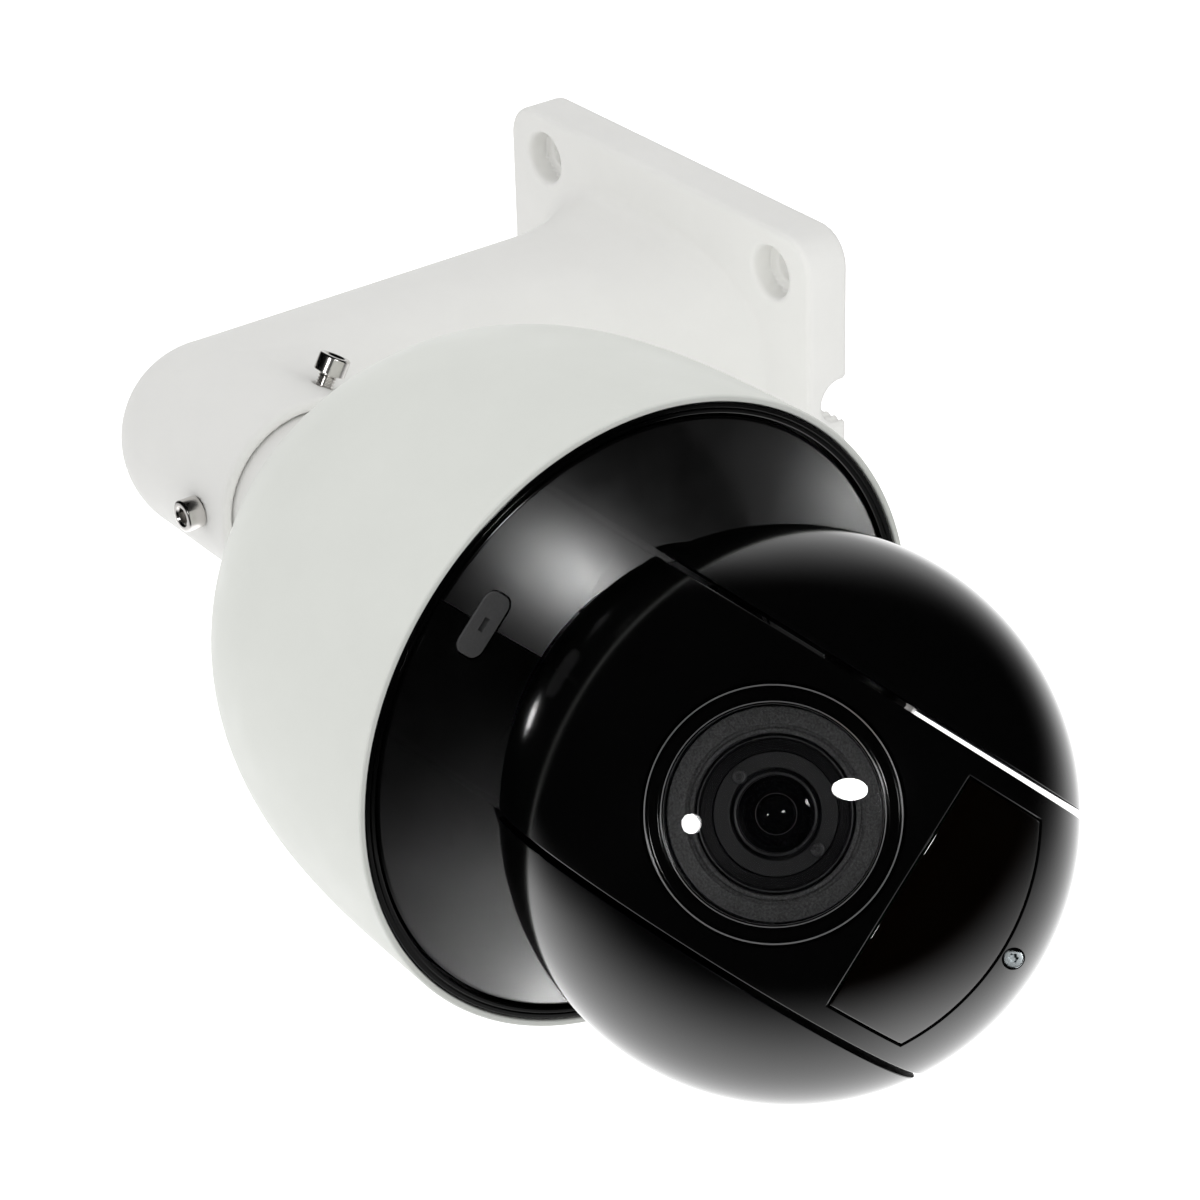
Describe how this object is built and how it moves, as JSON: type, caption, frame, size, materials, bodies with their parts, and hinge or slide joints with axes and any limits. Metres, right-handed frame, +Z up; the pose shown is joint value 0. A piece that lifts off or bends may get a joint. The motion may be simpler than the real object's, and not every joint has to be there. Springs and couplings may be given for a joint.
{
  "type": "pan tilt zoom camera",
  "caption": "Pan, tilt and zoom surveillance camera: a ball head under a bell housing, clamped to a hollow wall bracket.",
  "frame": {"origin": "centre of the wall plate's back face", "axes": "+Y into the wall, +Z up, +X to the right when looking at the wall"},
  "size_m": [0.16, 0.2225, 0.3473],
  "materials": {
    "bracket_paint": "satin powder coat on cast aluminium",
    "housing_paint": "satin powder coat",
    "black_gloss": "polished moulded plastic",
    "black_matt": "fine matt",
    "grey_rubber": "matt",
    "steel": "turned stainless",
    "aluminium": "machined",
    "motor_metal": "satin black",
    "circuit_board": "solder mask",
    "clear_glass": "coated lens glass",
    "ir_glass": "dark infrared filter",
    "lamp_dome": "clear moulded dome",
    "grey_shroud": "fine texture"
  },
  "bodies": {
    "root": {"base_plate": "aluminium", "board_post_1": "steel", "board_post_2": "steel", "board_post_3": "steel", "cable_gland": "black_matt", "clamp_screw_front": "steel", "clamp_screw_left": "steel", "clamp_screw_right": "steel", "housing_shell": "housing_paint", "main_board": "circuit_board", "neck_collar": "bracket_paint", "neck_gasket": "grey_rubber", "pan_bearing_outer": "steel", "pan_belt": "grey_rubber", "pan_motor": "motor_metal", "power_board": "circuit_board", "rim_bezel": "black_gloss", "rim_seal": "grey_rubber", "slip_ring_stator": "black_matt", "wall_bracket": "bracket_paint"},
    "turning_head": {"yoke_shell_right": "black_gloss", "yoke_shell_left": "black_gloss", "cover_plug": "grey_rubber", "yoke_frame": "aluminium", "turntable_post_1": "aluminium", "turntable_post_2": "aluminium", "turntable_post_3": "aluminium", "turntable_post_4": "aluminium", "pan_shaft": "aluminium", "pan_pulley": "aluminium", "pan_bearing_inner": "steel", "slip_ring_rotor": "black_matt", "tilt_bearing_right": "steel", "tilt_bearing_left": "steel", "tilt_motor": "motor_metal", "tilt_belt": "grey_rubber"},
    "tilting_drum": {"drum_front": "black_gloss", "drum_rear": "black_gloss", "drum_screw": "steel", "lens_bezel": "black_gloss", "lens_window": "clear_glass", "lens_shroud": "grey_shroud", "lens_barrel": "black_matt", "lens_element": "clear_glass", "zoom_module": "motor_metal", "sensor_board": "circuit_board", "drum_chassis": "aluminium", "ir_window": "ir_glass", "ir_board": "circuit_board", "ir_lamp_1": "lamp_dome", "ir_lamp_2": "lamp_dome", "ir_lamp_3": "lamp_dome", "ir_lamp_4": "lamp_dome", "tilt_shaft_right": "steel", "tilt_shaft_left": "steel", "tilt_pulley": "aluminium"},
    "pan_pinion": {"pan_motor_pulley": "aluminium"},
    "tilt_pinion": {"tilt_motor_pulley": "aluminium"}
  },
  "joints": [
    {"name": "pan", "type": "hinge", "parent": "root", "child": "turning_head", "pos_m": [0, -0.1425, -0.16415], "axis": [0, 0, 1], "continuous": true},
    {"name": "tilt", "type": "hinge", "parent": "turning_head", "child": "tilting_drum", "pos_m": [0, -0.1425, -0.21601], "axis": [0.7314, 0.682, 0], "range_deg": [-53, 52]},
    {"name": "pan_motor_spin", "type": "hinge", "parent": "root", "child": "pan_pinion", "pos_m": [0, -0.0965, -0.14265], "axis": [0, 0, 1], "continuous": true},
    {"name": "tilt_motor_spin", "type": "hinge", "parent": "turning_head", "child": "tilt_pinion", "pos_m": [-0.03035, -0.1708, -0.19401], "axis": [0.7314, 0.682, 0], "range_deg": [-160, 160]}
  ],
  "couplings": [
    {"joint": "pan_motor_spin", "follows": "pan", "ratio": 6},
    {"joint": "tilt_motor_spin", "follows": "tilt", "ratio": 3}
  ]
}
